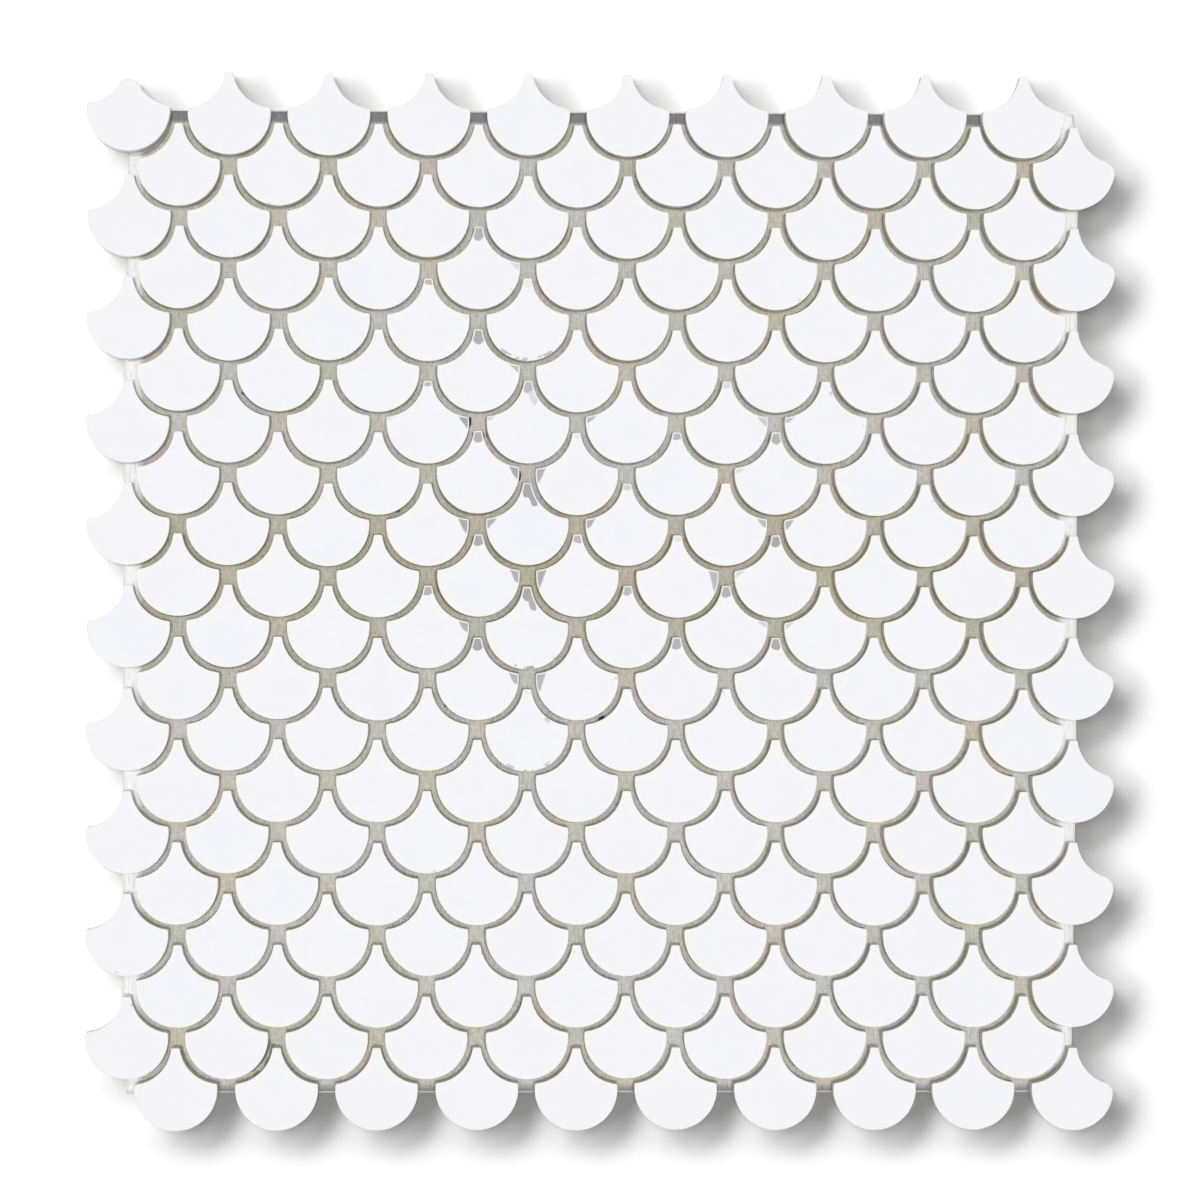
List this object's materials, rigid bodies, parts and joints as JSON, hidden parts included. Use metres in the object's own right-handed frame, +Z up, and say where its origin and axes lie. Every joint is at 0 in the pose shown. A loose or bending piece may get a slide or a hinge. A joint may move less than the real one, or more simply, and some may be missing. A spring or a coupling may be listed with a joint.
{
  "type": "fish scale tile mosaic sheet",
  "caption": "Sheet of small white stone fish scale tiles, interlocked in staggered courses and glued face up to a woven backing mesh, ready to be set and grouted.",
  "frame": {"origin": "middle of the sheet's outline, on the underside of the backing mesh", "axes": "+X along a course, +Y the way the scales' tips point, +Z up, out of the faces"},
  "size_m": [0.3056, 0.314, 0.008],
  "materials": {
    "white_stone": "honed white marble with sawn edges",
    "backing_mesh": "woven fibreglass mesh soaked with dull taupe glue"
  },
  "bodies": {
    "root": {"course_01_scales": "white_stone", "course_02_scales": "white_stone", "course_03_scales": "white_stone", "course_04_scales": "white_stone", "course_05_scales": "white_stone", "course_06_scales": "white_stone", "course_07_scales": "white_stone", "course_08_scales": "white_stone", "course_09_scales": "white_stone", "course_10_scales": "white_stone", "course_11_scales": "white_stone", "course_12_scales": "white_stone", "course_13_scales": "white_stone", "course_14_scales": "white_stone", "course_15_scales": "white_stone", "course_16_scales": "white_stone", "course_17_scales": "white_stone", "course_18_scales": "white_stone", "course_19_scales": "white_stone", "course_20_scales": "white_stone", "mesh_backing": "backing_mesh"}
  },
  "joints": []
}
